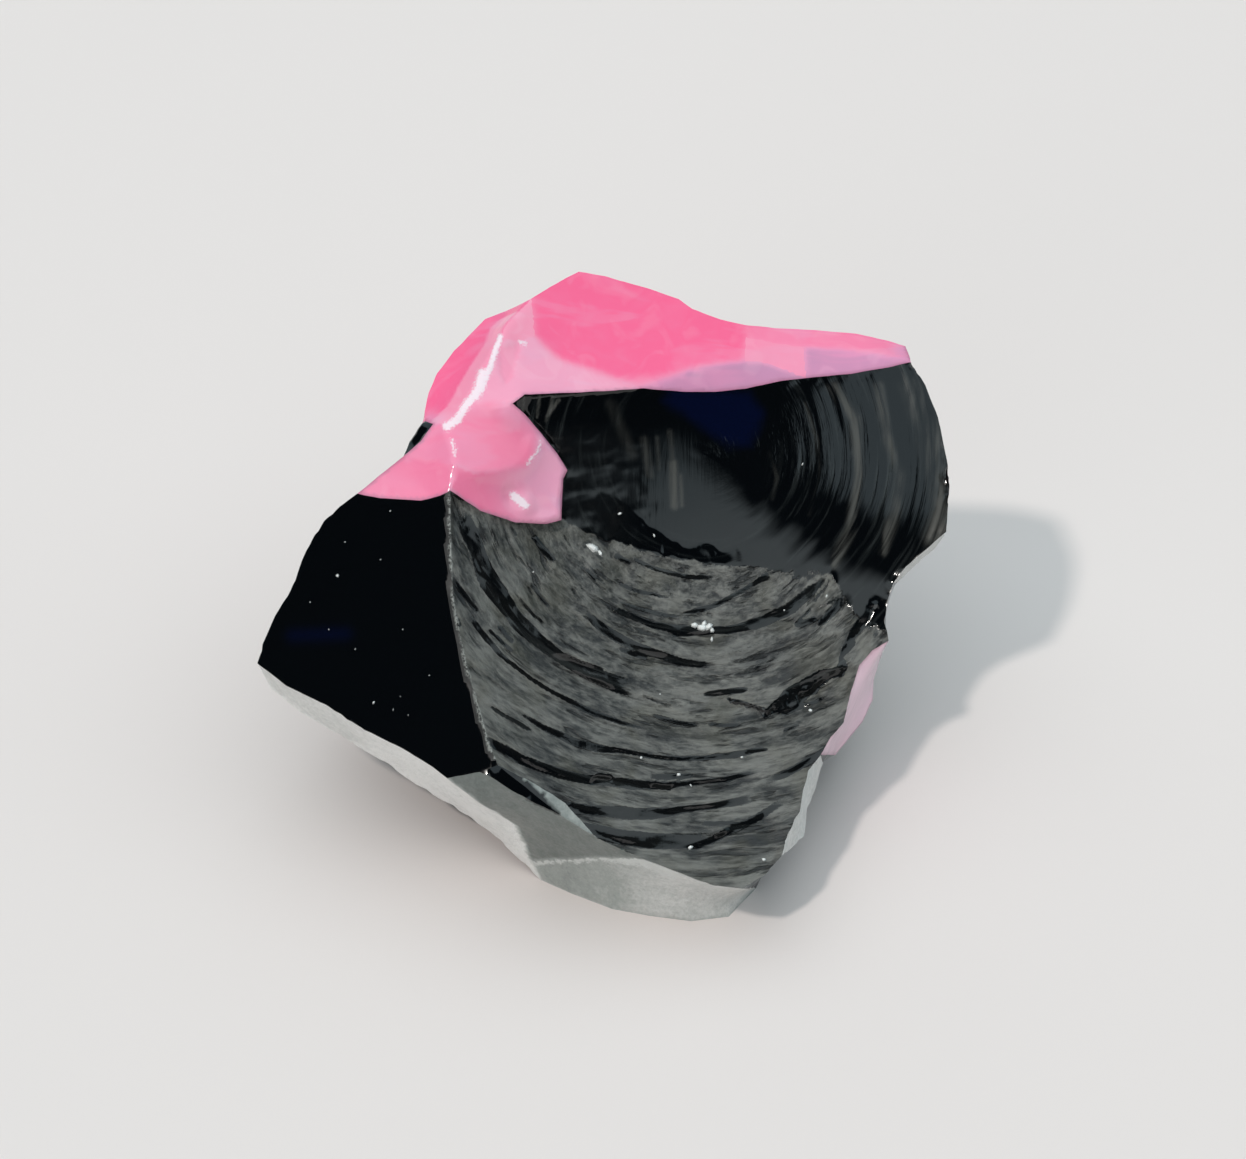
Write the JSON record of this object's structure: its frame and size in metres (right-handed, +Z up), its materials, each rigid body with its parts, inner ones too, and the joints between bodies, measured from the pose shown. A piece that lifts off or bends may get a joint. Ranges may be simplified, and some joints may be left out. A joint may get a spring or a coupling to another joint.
{
  "type": "andara glass",
  "caption": "Broken lump of black glass with a pink glossy top and tongue, a broad rippled shell-shaped hollow in front, a mirror-smooth left face and a pointed left tip.",
  "frame": {"origin": "centre of the underside of the bounding box, on the surface that the piece rests on", "axes": "+Z up, +X from the pointed left tip towards the right edge of the hollow, -Y out of the hollow front"},
  "size_m": [0.0682, 0.0594, 0.0423],
  "materials": {
    "black_pink_glass": "polished black fracture faces, opaque pink glass over the top"
  },
  "bodies": {
    "root": {"andara_glass": "black_pink_glass"}
  },
  "joints": []
}
